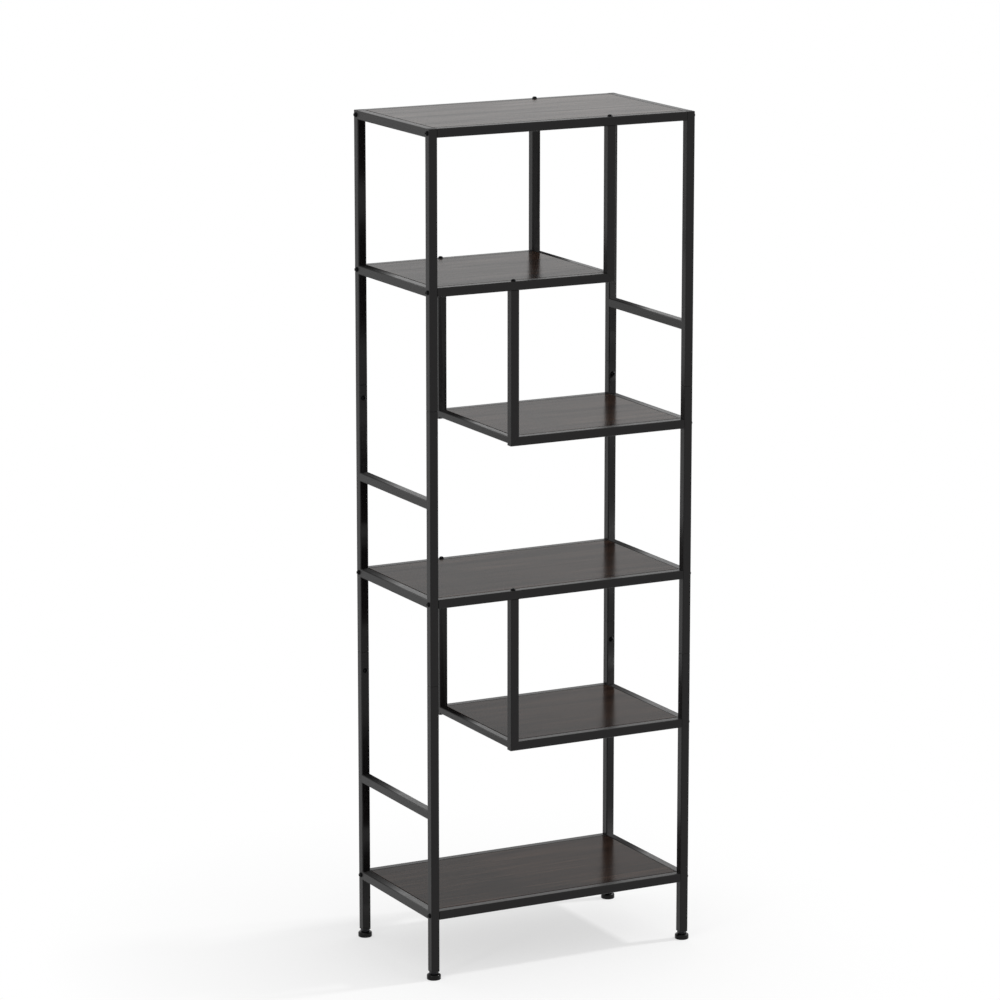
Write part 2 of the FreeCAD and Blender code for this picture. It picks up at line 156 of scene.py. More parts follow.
# Melamine laminate pressed on particle board, printed as dark espresso oak: a smooth hard face
# that mirrors softly at low angles, brown streaks along the width and fine dark pores.
espressoBoard = {
    "dark": "#1a1310",
    "mid": "#281d18",
    "light": "#392b23",
    "pore": "#110c0a",
    "toneStops": (0.4, 0.5, 0.6),
    "layers": {              # millimetres along and across the grain
        "figure": {"along": 420, "across": 26, "detail": 3, "twist": 1.2},
        "streak": {"along": 150, "across": 2.6, "detail": 5, "twist": 0.4},
        "pores": {"along": 26, "across": 0.8, "detail": 2, "twist": 0.1},
    },
    "streakShare": 0.5,
    "poreCut": (0.60, 0.68),
    "poreDepth": 0.05,       # millimetres
    "poreStrength": 0.2,
    "specular": 0.032,
    "roughness": (0.14, 0.25),
}


def espressoLaminate(spec):
    material, tree, shader = newMaterial("espressoLaminate", spec["mid"])
    shader.inputs["Specular IOR Level"].default_value = spec["specular"]
    place = addNode(tree, "ShaderNodeTexCoord").outputs["Object"]
    grain = {}
    for name, layer in spec["layers"].items():
        along, across = perMetre(layer["along"]), perMetre(layer["across"])
        stretched = addNode(tree, "ShaderNodeMapping", inputs={
            "Vector": place, "Scale": (along, across, across)})
        grain[name] = addNode(tree, "ShaderNodeTexNoise", inputs={
            "Vector": stretched.outputs["Vector"], "Scale": 1, "Detail": layer["detail"],
            "Distortion": layer["twist"]}).outputs["Fac"]
    mixed = addNode(tree, "ShaderNodeMix", {"data_type": "FLOAT"}, {
        "Factor": spec["streakShare"], floatA: grain["figure"], floatB: grain["streak"]})
    wood = mixed.outputs[floatMixed]
    ramp = addNode(tree, "ShaderNodeValToRGB", inputs={"Fac": wood})
    tones = ramp.color_ramp.elements
    tones.new(spec["toneStops"][1])
    for tone, stop, name in zip(tones, spec["toneStops"], ("dark", "mid", "light")):
        tone.position = stop
        tone.color = linearColor(spec[name])
    pores = addNode(tree, "ShaderNodeMapRange", inputs={
        "Value": grain["pores"], "From Min": spec["poreCut"][0], "From Max": spec["poreCut"][1]})
    tint = addNode(tree, "ShaderNodeMix", {"data_type": "RGBA"}, {
        "Factor": pores.outputs["Result"],
        colorA: ramp.outputs["Color"], colorB: linearColor(spec["pore"])})
    tree.links.new(tint.outputs[colorMixed], shader.inputs["Base Color"])
    gloss = addNode(tree, "ShaderNodeMapRange", inputs={
        "Value": wood, **noiseSpan,
        "To Min": spec["roughness"][1], "To Max": spec["roughness"][0]})
    tree.links.new(gloss.outputs["Result"], shader.inputs["Roughness"])
    dent = addNode(tree, "ShaderNodeBump", {"invert": True}, {
        "Strength": spec["poreStrength"], "Distance": spec["poreDepth"] * mm,
        "Height": pores.outputs["Result"]})
    tree.links.new(dent.outputs["Normal"], shader.inputs["Normal"])
    return material


# Black oxide on turned steel: a nearly black metal whose oiled skin is a little patchy
blackOxide = {"color": "#111112", "roughness": (0.26, 0.42), "patch": 2.5}

# Black zinc plate on rolled threads: paler than the oxide, and smoother
blackZinc = {"color": "#222224", "roughness": (0.20, 0.34), "patch": 3}

# Bright zinc plate on turned steel: pale blue-grey metal, faintly clouded
zincPlate = {"color": "#b9bcc2", "roughness": (0.22, 0.36), "patch": 6}


def platedSteel(name, spec):
    material, tree, shader = newMaterial(name, spec["color"])
    shader.inputs["Metallic"].default_value = 1
    place = addNode(tree, "ShaderNodeTexCoord").outputs["Object"]
    patch = addNode(tree, "ShaderNodeTexNoise", inputs={
        "Vector": place, "Scale": perMetre(spec["patch"]), "Detail": 4})
    sheen = addNode(tree, "ShaderNodeMapRange", inputs={
        "Value": patch.outputs["Fac"], **noiseSpan,
        "To Min": spec["roughness"][0], "To Max": spec["roughness"][1]})
    tree.links.new(sheen.outputs["Result"], shader.inputs["Roughness"])
    return material


# Injection-moulded nylon: black, polished by the mould, with a slight ripple from shrinkage
nylonFoot = {
    "color": "#080808",
    "specular": 0.16,
    "roughness": (0.18, 0.30),
    "ripple": 4,             # millimetres
    "rippleDepth": 0.03,
}

# Injection-moulded polyethylene: black and satin, with a spark-eroded grain
polyPlug = {
    "color": "#141415",
    "specular": 0.3,
    "roughness": (0.42, 0.56),
    "ripple": 0.9,           # millimetres
    "rippleDepth": 0.03,
}


def mouldedPlastic(name, spec):
    material, tree, shader = newMaterial(name, spec["color"])
    shader.inputs["Specular IOR Level"].default_value = spec["specular"]
    place = addNode(tree, "ShaderNodeTexCoord").outputs["Object"]
    ripple = addNode(tree, "ShaderNodeTexNoise", inputs={
        "Vector": place, "Scale": perMetre(spec["ripple"]), "Detail": 2})
    sheen = addNode(tree, "ShaderNodeMapRange", inputs={
        "Value": ripple.outputs["Fac"], **noiseSpan,
        "To Min": spec["roughness"][0], "To Max": spec["roughness"][1]})
    tree.links.new(sheen.outputs["Result"], shader.inputs["Roughness"])
    bump = addNode(tree, "ShaderNodeBump", inputs={
        "Strength": bumpStrength, "Distance": spec["rippleDepth"] * mm,
        "Height": ripple.outputs["Fac"]})
    tree.links.new(bump.outputs["Normal"], shader.inputs["Normal"])
    return material


coatedSteel = powderCoatedSteel(powderCoat)
laminate = espressoLaminate(espressoBoard)
oxideSteel = platedSteel("blackOxideSteel", blackOxide)
zincSteel = platedSteel("brightZincSteel", zincPlate)
darkZinc = platedSteel("blackZincSteel", blackZinc)
nylon = mouldedPlastic("mouldedNylon", nylonFoot)
polyethylene = mouldedPlastic("mouldedPolyethylene", polyPlug)
print("materials made")

# Outlines and skins that every modelled piece is made from
fineEdge = 0.3 * mm          # a sawn end with its burr taken off
cornerSteps = 6              # facets round a tube's corner
smallSteps = 3               # facets round the corners of tabs and boards
easeTurns = [math.radians(angle) for angle in (0, 45, 90)]


def roundedSquare(halfU, halfV, radius, steps):
    points = []
    for quarter, (signU, signV) in enumerate(((1, 1), (-1, 1), (-1, -1), (1, -1))):
        for step in range(steps + 1):
            angle = (quarter + step / steps) * math.pi / 2
            points.append((signU * (halfU - radius) + radius * math.cos(angle),
                           signV * (halfV - radius) + radius * math.sin(angle)))
    return points


def skin(mesh, loops, ring=False):
    rows = [[mesh.verts.new(point) for point in loop] for loop in loops]
    for here, after in zip(rows, rows[1:] + (rows[:1] if ring else [])):
        for i in range(len(here)):
            mesh.faces.new((here[i - 1], here[i], after[i], after[i - 1]))
    if not ring:
        mesh.faces.new(rows[0])
        mesh.faces.new(rows[-1])


# A bar with rounded corners and eased ends; wall makes it a tube, and mitre cuts one end at 45 degrees
def addBar(mesh, axis, low, high, corner, steps=cornerSteps, wall=None, ease=fineEdge, mitre=None):
    low, high = Vector(low), Vector(high)
    u, v = (axis + 1) % 3, (axis + 2) % 3
    middle = (low + high) / 2
    half = (high - low) / 2

    def loop(along, inset, radius):
        points = []
        for a, b in roundedSquare(half[u] - inset, half[v] - inset, radius, steps):
            point = middle.copy()
            point[axis] = along
            point[u] += a
            point[v] += b
            if mitre and (along < middle[axis]) == (mitre["end"] == "low"):
                point[axis] += mitre["lean"] * (point[mitre["across"]] - mitre["from"])
            points.append(point)
        return points

    edge = [(ease * (1 - math.cos(turn)), ease * (1 - math.sin(turn))) for turn in easeTurns]
    loops = [loop(low[axis] + along, inset, corner - inset) for along, inset in edge]
    loops += [loop(high[axis] - along, inset, corner - inset) for along, inset in reversed(edge)]
    if wall:
        inside = max(corner - wall, ease)
        loops += [loop(end, wall, inside) for end in (high[axis], low[axis])]
    skin(mesh, loops, ring=bool(wall))


def finishPiece(name, mesh, material, body, nodes):
    piece = bpy.data.objects.new(name, mesh)
    scene.collection.objects.link(piece)
    mesh.materials.clear()
    mesh.materials.append(material)
    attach(piece, body)
    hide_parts(*nodes)


def toMesh(name, shape, crease=None):
    bmesh.ops.recalc_face_normals(shape, faces=shape.faces)
    mesh = bpy.data.meshes.new(name)
    shape.to_mesh(mesh)
    shape.free()
    mesh.shade_smooth()
    if crease:
        mesh.set_sharp_from_angle(angle=math.radians(crease))
    return mesh


def bake(name, mesh, addModifiers):
    draft = bpy.data.objects.new(name + ".draft", mesh)
    scene.collection.objects.link(draft)
    addModifiers(draft)
    graph = bpy.context.evaluated_depsgraph_get()
    result = bpy.data.meshes.new_from_object(draft.evaluated_get(graph), depsgraph=graph)
    draft.modifiers.clear()
    bpy.data.objects.remove(draft)
    result.name = name
    return result


# Weld: overlapping bars become one closed skin, and flat faces keep flat shading
weldTolerance = 0.001 * mm   # corners nearer than this are one corner


def weldTree():
    tree = bpy.data.node_groups.new("weldedBars", "GeometryNodeTree")
    tree.interface.new_socket(name="Bars", in_out="INPUT", socket_type="NodeSocketGeometry")
    tree.interface.new_socket(name="Finish", in_out="INPUT", socket_type="NodeSocketMaterial")
    tree.interface.new_socket(name="Frame", in_out="OUTPUT", socket_type="NodeSocketGeometry")
    given = addNode(tree, "NodeGroupInput").outputs
    joined = addNode(tree, "GeometryNodeMeshBoolean", {"operation": "UNION", "solver": "EXACT"}, {
        "Mesh 2": given["Bars"], "Self Intersection": True, "Hole Tolerant": False})
    clean = addNode(tree, "GeometryNodeMergeByDistance", inputs={
        "Geometry": joined.outputs["Mesh"], "Distance": weldTolerance})
    smooth = addNode(tree, "GeometryNodeSetShadeSmooth", inputs={"Geometry": clean.outputs["Geometry"]})
    plain = addNode(tree, "GeometryNodeRealizeInstances", inputs={"Geometry": smooth.outputs["Geometry"]})
    coat = addNode(tree, "GeometryNodeSetMaterial", inputs={
        "Geometry": plain.outputs["Geometry"], "Material": given["Finish"]})
    addNode(tree, "NodeGroupOutput", inputs={"Frame": coat.outputs["Geometry"]})
    return tree


def inputName(tree, label):
    return next(item.identifier for item in tree.interface.items_tree
                if item.in_out == "INPUT" and item.name == label)


weldedBars = weldTree()


def weld(name, shape, material):
    def addModifiers(draft):
        joiner = draft.modifiers.new("weld", "NODES")
        joiner.node_group = weldedBars
        joiner[inputName(weldedBars, "Finish")] = material
        shading = draft.modifiers.new("flatFaces", "WEIGHTED_NORMAL")
        shading.mode = "FACE_AREA"
        shading.weight = 100     # the largest face decides

    return bake(name, toMesh(name, shape), addModifiers)


# Tubes: cold-rolled square tube with rounded corners
tube = {
    "side": 19 * mm,
    "endSide": 15 * mm,      # the smaller rail that closes each hanger frame
    "corner": 2.2 * mm,
    "wall": 1.2 * mm,
    "cutEdge": 0.9 * mm,     # filed edge of a post's end, which shows as a groove at each seam
}
tubeReach = tube["side"] - tube["corner"]
postSides = ("left", "right")
depthEnds = ("front", "back")
shelves = ("top", "upper_left", "upper_right", "middle", "lower_right", "bottom")

# Part-width shelves: the shelf that each hangs from, and which end of its rails is the hung one
hung = {
    "upper_left": {"from": "top", "end": "high"},
    "upper_right": {"from": "upper_left", "end": "low"},
    "lower_right": {"from": "middle", "end": "low"},
}
root = "shelf_frame"


def level(shelf):
    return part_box(f"{shelf}_front_rail")[1].z


def hungEnd(shelf):
    return hung[shelf]["end"] if shelf in hung else None


def lean(shelf):
    return -1 if hungEnd(shelf) == "high" else 1


# Side frames: the cross rails run a corner's radius into the posts, as a weld ground flush does
spacers = {                  # the shelf that a loose cross rail stands under, and how far
    "left_middle_frame": ("upper_right", 117 * mm),
    "left_lower_frame": ("lower_right", 127.5 * mm),
    "right_upper_frame": ("upper_left", 117 * mm),
}


def bolted(shelf, side):
    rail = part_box(f"{shelf}_front_rail")
    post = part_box(f"{side}_upper_frame")
    gap = rail[0].x - post[1].x if side == "left" else post[0].x - rail[1].x
    return abs(gap) < mm


def sideFrame(node):
    low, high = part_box(node)
    side = node.split("_")[0]
    tops = [level(shelf) for shelf in shelves if bolted(shelf, side)]
    if node in spacers:
        shelf, drop = spacers[node]
        tops.append(level(shelf) - drop)
    shape = bmesh.new()
    for y in (low.y, high.y - tube["side"]):
        addBar(shape, alongZ, (low.x, y, low.z), (high.x, y + tube["side"], high.z), tube["corner"],
               wall=tube["wall"], ease=tube["cutEdge"])
    for top in tops:
        if low.z < top <= high.z + mm:
            addBar(shape, alongY, (low.x, low.y + tubeReach, top - tube["side"]),
                   (high.x, high.y - tubeReach, top), tube["corner"])
    mesh = weld(node, shape, coatedSteel)
    finishPiece(node + ".tubes", mesh, coatedSteel, root, [node])


for side in postSides:
    for part in ("upper", "middle", "lower"):
        sideFrame(f"{side}_{part}_frame")
print("side frames made")

# Shelf rails, each with two pressed tabs that carry the board; a part-width rail ends in a mitre
tab = {
    "inset": 90 * mm,
    "width": 24 * mm,
    "thickness": 1.5 * mm,
    "boardThickness": 15 * mm,
    "corner": 0.5 * mm,
    "screwReach": 10 * mm,
}


def tabPlaces(shelf):
    low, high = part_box(f"{shelf}_front_rail")
    start = low.x + (tube["side"] if hungEnd(shelf) == "low" else 0)
    end = high.x - (tube["side"] if hungEnd(shelf) == "high" else 0)
    return start + tab["inset"], end - tab["inset"]


def shelfRail(shelf, face):
    node = f"{shelf}_{face}_rail"
    low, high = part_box(node)
    front = face == "front"
    y = low.y if front else high.y - tube["side"]
    mitre = None
    if shelf in hung:
        mitre = {"end": hungEnd(shelf), "lean": lean(shelf), "across": alongZ, "from": low.z}
    shape = bmesh.new()
    addBar(shape, alongX, (low.x, y, low.z), (high.x, y + tube["side"], high.z), tube["corner"], mitre=mitre)
    top = high.z - tab["boardThickness"]
    start = low.y + tube["side"] - tube["wall"] if front else low.y
    end = high.y if front else high.y - tube["side"] + tube["wall"]
    half = tab["width"] / 2
    for x in tabPlaces(shelf):
        addBar(shape, alongY, (x - half, start, top - tab["thickness"]), (x + half, end, top),
               tab["corner"], steps=smallSteps)
    mesh = weld(node, shape, coatedSteel)
    finishPiece(node + ".tube", mesh, coatedSteel, root, [node])


for shelf in shelves:
    for face in depthEnds:
        shelfRail(shelf, face)
print("shelf rails made")


# Hanger frames: two hanging tubes, mitred to the shelf's rails, and the end rail between their feet
def hangerFrame(shelf):
    node = f"{shelf}_hanger_frame"
    low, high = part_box(node)
    endSide = tube["endSide"]
    highEnd = hungEnd(shelf) == "high"
    outer = high.x if highEnd else low.x
    mitre = {"end": "low", "lean": lean(shelf), "across": alongX, "from": outer}
    shape = bmesh.new()
    for y in (low.y, high.y - tube["side"]):
        addBar(shape, alongZ, (low.x, y, low.z), (high.x, y + tube["side"], high.z), tube["corner"],
               mitre=mitre)
    x = outer - endSide if highEnd else outer
    top = level(shelf)
    addBar(shape, alongY, (x, low.y + tubeReach, top - endSide), (x + endSide, high.y - tubeReach, top),
           tube["corner"])
    mesh = weld(node, shape, coatedSteel)
    finishPiece(node + ".tubes", mesh, coatedSteel, root, [node])


for shelf in hung:
    hangerFrame(shelf)
print("hanger frames made")

# Boards: laminate wrapped over eased edges
board = {"edge": 0.7 * mm}


def shelfBoard(shelf):
    node = f"{shelf}_board"
    low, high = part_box(node)
    shape = bmesh.new()
    addBar(shape, alongX, low, high, board["edge"], steps=smallSteps, ease=board["edge"])
    mesh = weld(node, shape, laminate)
    finishPiece(node + ".panel", mesh, laminate, root, [node])


for shelf in shelves:
    shelfBoard(shelf)
print("boards made")

# Button-head fasteners: a dome with a flat crown and a driver recess, on a shank that shows nowhere
frameBolt = {
    "Head radius": 5.5 * mm,
    "Crown radius": 3.2 * mm,
    "Head height": 3.8 * mm,
    "Recess radius": 2.3 * mm,
    "Recess depth": 2.2 * mm,
    "Shank radius": 3 * mm,
    "Shank length": 30 * mm,
    "Cross recess": False,
}
spliceBolt = {**frameBolt, "Shank length": 10 * mm}
boardScrew = {
    "Head radius": 3.5 * mm,
    "Crown radius": 2 * mm,
    "Head height": 2 * mm,
    "Recess radius": 1.7 * mm,
    "Recess depth": 1.2 * mm,
    "Shank radius": 1.75 * mm,
    "Shank length": 12 * mm,
    "Cross recess": True,
}
spliceDrop = {"middle": 28 * mm, "lower": 41 * mm}       # below the seam on top of each section
headSides = 32
headCrease = 35              # degrees

# Sizes worked out inside the tree: name, operation and the two values
headSums = (
    ("Slab width", "MULTIPLY", "Head radius", 3),
    ("Half head", "MULTIPLY", "Head height", 0.5),
    ("Rod length", "ADD", "Shank length", "Half head"),
    ("Rod drop", "SUBTRACT", "Half head", "Shank length"),
    ("Rod middle", "MULTIPLY", "Rod drop", 0.5),
    ("Recess cut", "MULTIPLY", "Recess depth", 2),
    ("Blade length", "MULTIPLY", "Recess radius", 2),
    ("Blade width", "MULTIPLY", "Recess radius", 0.5),
)
leastAngle, mostAngle, angleDrawn = 2, 3, 1      # a Random Value node's sockets for one number


def fastenerTree():
    tree = bpy.data.node_groups.new("buttonHeads", "GeometryNodeTree")
    kinds = {"Points": "Geometry", "Finish": "Material", "Cross recess": "Bool", "Seed": "Int"}
    for label in ("Points", *frameBolt, "Dome radius", "Dome centre", "Seed", "Finish"):
        tree.interface.new_socket(
            name=label, in_out="INPUT", socket_type="NodeSocket" + kinds.get(label, "Float"))
    tree.interface.new_socket(name="Fasteners", in_out="OUTPUT", socket_type="NodeSocketGeometry")
    given = dict(addNode(tree, "NodeGroupInput").outputs.items())
    for label, operation, first, second in headSums:
        given[label] = addNode(tree, "ShaderNodeMath", {"operation": operation}, {
            0: given.get(first, first), 1: given.get(second, second)}).outputs[0]
    blocks = {}
    for name, lengths in (("slab", ("Slab width", "Slab width", "Head height")),
                          ("blade", ("Blade length", "Blade width", "Recess cut")),
                          ("crossBlade", ("Blade width", "Blade length", "Recess cut"))):
        size = addNode(tree, "ShaderNodeCombineXYZ", inputs={
            letter: given[label] for letter, label in zip("XYZ", lengths)})
        blocks[name] = addNode(tree, "GeometryNodeMeshCube", inputs={
            "Size": size.outputs[0]}).outputs["Mesh"]
    ball = addNode(tree, "GeometryNodeMeshUVSphere", inputs={
        "Segments": headSides, "Rings": headSides // 2, "Radius": given["Dome radius"]})
    rod = addNode(tree, "GeometryNodeMeshCylinder", inputs={
        "Vertices": headSides, "Radius": given["Shank radius"], "Depth": given["Rod length"]})
    hexKey = addNode(tree, "GeometryNodeMeshCylinder", inputs={
        "Vertices": 6, "Radius": given["Recess radius"], "Depth": given["Recess cut"]})
    crossKey = addNode(tree, "GeometryNodeMeshBoolean", {"operation": "UNION", "solver": "EXACT"}, {
        "Mesh 2": [blocks["blade"], blocks["crossBlade"]]})
    key = addNode(tree, "GeometryNodeSwitch", {"input_type": "GEOMETRY"}, {
        "Switch": given["Cross recess"], "False": hexKey.outputs["Mesh"], "True": crossKey.outputs["Mesh"]})
    placed = {}
    for name, mesh, height in (("ball", ball.outputs["Mesh"], "Dome centre"),
                               ("slab", blocks["slab"], "Half head"),
                               ("rod", rod.outputs["Mesh"], "Rod middle"),
                               ("key", key.outputs["Output"], "Head height")):
        lift = addNode(tree, "ShaderNodeCombineXYZ", inputs={"Z": given[height]})
        placed[name] = addNode(tree, "GeometryNodeTransform", inputs={
            "Geometry": mesh, "Translation": lift.outputs[0]}).outputs["Geometry"]
    dome = addNode(tree, "GeometryNodeMeshBoolean", {"operation": "INTERSECT", "solver": "EXACT"}, {
        "Mesh 2": [placed["ball"], placed["slab"]]})
    blank = addNode(tree, "GeometryNodeMeshBoolean", {"operation": "UNION", "solver": "EXACT"}, {
        "Mesh 2": [dome.outputs["Mesh"], placed["rod"]]})
    head = addNode(tree, "GeometryNodeMeshBoolean", {"operation": "DIFFERENCE", "solver": "EXACT"}, {
        "Mesh 1": blank.outputs["Mesh"], "Mesh 2": placed["key"]})
    facing = addNode(tree, "GeometryNodeInputNamedAttribute", {"data_type": "FLOAT_VECTOR"}, {
        "Name": "facing"})
    aimed = addNode(tree, "FunctionNodeAlignRotationToVector", {"axis": "Z"}, {
        "Vector": facing.outputs["Attribute"]})
    angle = addNode(tree, "FunctionNodeRandomValue", {"data_type": "FLOAT"}, {
        leastAngle: 0.0, mostAngle: math.tau, "Seed": given["Seed"]})
    spin = addNode(tree, "FunctionNodeAxisAngleToRotation", inputs={
        "Axis": (0, 0, 1), "Angle": angle.outputs[angleDrawn]})
    turned = addNode(tree, "FunctionNodeRotateRotation", {"rotation_space": "LOCAL"}, {
        "Rotation": aimed.outputs[0], "Rotate By": spin.outputs[0]})
    copies = addNode(tree, "GeometryNodeInstanceOnPoints", inputs={
        "Points": given["Points"], "Instance": head.outputs["Mesh"], "Rotation": turned.outputs[0]})
    plain = addNode(tree, "GeometryNodeRealizeInstances", inputs={"Geometry": copies.outputs["Instances"]})
    coat = addNode(tree, "GeometryNodeSetMaterial", inputs={
        "Geometry": plain.outputs["Geometry"], "Material": given["Finish"]})
    addNode(tree, "NodeGroupOutput", inputs={"Fasteners": coat.outputs["Geometry"]})
    return tree


buttonHeads = fastenerTree()


def fasteners(node, spec, places, material, seed):
    points = bpy.data.meshes.new(node + ".points")
    points.from_pydata([place for place, facing in places], [], [])
    facings = points.attributes.new("facing", "FLOAT_VECTOR", "POINT")
    facings.data.foreach_set("vector", [value for place, facing in places for value in facing])
    radius, crown, height = spec["Head radius"], spec["Crown radius"], spec["Head height"]
    centre = (height ** 2 - radius ** 2 + crown ** 2) / (2 * height)
    sizes = {**spec, "Dome centre": centre, "Dome radius": math.hypot(radius, centre),
             "Seed": seed, "Finish": material}

    def addModifiers(draft):
        maker = draft.modifiers.new("fasteners", "NODES")
        maker.node_group = buttonHeads
        for label, value in sizes.items():
            maker[inputName(buttonHeads, label)] = value

    mesh = bake(node, points, addModifiers)
    mesh.shade_smooth()
    mesh.set_sharp_from_angle(angle=math.radians(headCrease))
    finishPiece(node + ".heads", mesh, material, root, [node])


halfSide = tube["side"] / 2
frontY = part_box("left_upper_frame")[0].y + halfSide
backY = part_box("left_upper_frame")[1].y - halfSide
outward = {"left": (-1, 0, 0), "right": (1, 0, 0)}
forward, backward, up, down = (0, -1, 0), (0, 1, 0), (0, 0, 1), (0, 0, -1)

railBoltPlaces = []
for side in postSides:
    low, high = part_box(f"{side}_upper_frame")
    x = low.x if side == "left" else high.x
    for shelf in shelves:
        if bolted(shelf, side):
            for y in (frontY, backY):
                railBoltPlaces.append(((x, y, level(shelf) - halfSide), outward[side]))
fasteners("rail_bolts", frameBolt, railBoltPlaces, oxideSteel, 1)

hangerBoltPlaces = []
for shelf in hung:
    low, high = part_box(f"{shelf}_hanger_frame")
    for y in (frontY, backY):
        hangerBoltPlaces.append((((low.x + high.x) / 2, y, level(hung[shelf]["from"])), up))
fasteners("hanger_bolts", frameBolt, hangerBoltPlaces, oxideSteel, 2)

spliceBoltPlaces = []
for side in postSides:
    for part, drop in spliceDrop.items():
        low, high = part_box(f"{side}_{part}_frame")
        for y, facing in ((frontY + halfSide, backward), (backY - halfSide, forward)):
            spliceBoltPlaces.append((((low.x + high.x) / 2, y, high.z - drop), facing))
fasteners("splice_bolts", spliceBolt, spliceBoltPlaces, oxideSteel, 3)

boardScrewPlaces = []
inside = halfSide + tab["screwReach"]
for shelf in shelves:
    z = level(shelf) - tab["boardThickness"] - tab["thickness"]
    for x in tabPlaces(shelf):
        for y in (frontY + inside, backY - inside):
            boardScrewPlaces.append(((x, y, z), down))
fasteners("board_screws", boardScrew, boardScrewPlaces, zincSteel, 4)
print("fasteners made")


def postMiddles(part):
    for side in postSides:
        low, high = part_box(f"{side}_{part}_frame")
        for y in (frontY, backY):
            yield (low.x + high.x) / 2, y


# End plugs: square caps pressed flush into the post tops
endPlug = {"depth": 5 * mm, "ease": 0.5 * mm}


def endPlugs():
    shape = bmesh.new()
    half = halfSide - tube["wall"]
    corner = tube["corner"] - tube["wall"]
    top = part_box("left_upper_frame")[1].z
    for x, y in postMiddles("upper"):
        addBar(shape, alongZ, (x - half, y - half, top - endPlug["depth"]), (x + half, y + half, top),
               corner, ease=endPlug["ease"])
    mesh = weld("tube_end_plugs", shape, polyethylene)
    finishPiece("tube_end_plugs.caps", mesh, polyethylene, root, ["tube_end_plugs"])


endPlugs()
print("end plugs made")

# Levelling feet: a moulded base with a soft shoulder, on a black zinc stud with a hexagon collar
foot = {
    "radius": 15 * mm,
    "toe": 1.2 * mm,
    "shoulder": 3 * mm,
    "socket": 4.05 * mm,
    "socketDepth": 7.3 * mm,
    "sides": 72,
    "arcSteps": 6,           # facets across the toe and the shoulder
}
stud = {
    "radius": 4 * mm,
    "collarFlat": 8.66 * mm,
    "collarHeight": 6 * mm,
    "collarChamfer": 0.7 * mm,
    "pinDepth": 7 * mm,
    "pitch": 1.25 * mm,
    "threadDepth": 0.65 * mm,
    "stepsPerTurn": 8,
    "sides": 48,
}
edgeCrease = 40              # degrees; sharper edges than this stay sharp


def circle(centre, radiusAt, z, sides):
    points = []
    for i in range(sides):
        turn = math.tau * i / sides
        radius = radiusAt(turn)
        points.append(Vector((centre.x + radius * math.cos(turn), centre.y + radius * math.sin(turn), z)))
    return points


def around(radius):
    return lambda turn: radius


def footBase(corner):
    node = f"{corner}_foot"
    low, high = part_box(node)
    radius, toe, shoulder, socket = foot["radius"], foot["toe"], foot["shoulder"], foot["socket"]
    quarter = [math.pi / 2 * i / foot["arcSteps"] for i in range(foot["arcSteps"] + 1)]
    outline = [(radius - toe * (1 - math.sin(turn)), low.z + toe * (1 - math.cos(turn)))
               for turn in quarter]
    outline += [(radius - shoulder * (1 - math.cos(turn)), high.z - shoulder * (1 - math.sin(turn)))
                for turn in quarter]
    outline += [(socket, high.z), (socket, high.z - foot["socketDepth"])]
    shape = bmesh.new()
    skin(shape, [circle((low + high) / 2, around(size), z, foot["sides"]) for size, z in outline])
    mesh = toMesh(node, shape, edgeCrease)
    finishPiece(node + ".base", mesh, nylon, node, [node])


def hexagon(flat, limit):
    def radius(turn):
        return min(flat / math.cos((turn + math.pi / 6) % (math.pi / 3) - math.pi / 6), limit)
    return radius


def threaded(z):
    def radius(turn):
        phase = (z / stud["pitch"] - turn / math.tau) % 1
        return stud["radius"] - stud["threadDepth"] * abs(2 * phase - 1)
    return radius


def footStud(corner):
    node = f"{corner}_foot_stud"
    low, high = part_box(node)
    middle = (low + high) / 2
    sides = stud["sides"]
    flat, chamfer = stud["collarFlat"], stud["collarChamfer"]
    widest = flat / math.cos(math.pi / 6)
    bottom = low.z + stud["pinDepth"]
    top = bottom + stud["collarHeight"]
    loops = [circle(middle, around(stud["radius"]), z, sides) for z in (low.z, bottom)]
    for z, limit in ((bottom, widest - chamfer), (bottom + chamfer, widest),
                     (top - chamfer, widest), (top, widest - chamfer)):
        loops.append(circle(middle, hexagon(flat, limit), z, sides))
    step = stud["pitch"] / stud["stepsPerTurn"]
    count = int((high.z - top) / step)
    loops += [circle(middle, threaded(top + step * i), top + step * i, sides) for i in range(count + 1)]
    loops.append(circle(middle, around(stud["radius"] - stud["threadDepth"]), high.z, sides))
    shape = bmesh.new()
    skin(shape, loops)
    mesh = toMesh(node, shape, edgeCrease)
    finishPiece(node + ".thread", mesh, darkZinc, f"{corner}_stud", [node])


for depthEnd in depthEnds:
    for side in postSides:
        footBase(f"{depthEnd}_{side}")
        footStud(f"{depthEnd}_{side}")
print("feet made")

# Post plugs: a flange under the post's end and a block pressed into it, bored for the stud
postPlug = {
    "flange": 2 * mm,
    "clearance": 0.1 * mm,
    "bore": 4.1 * mm,
    "edge": 0.4 * mm,
    "blockCorner": 1 * mm,
    "steps": 7,
}


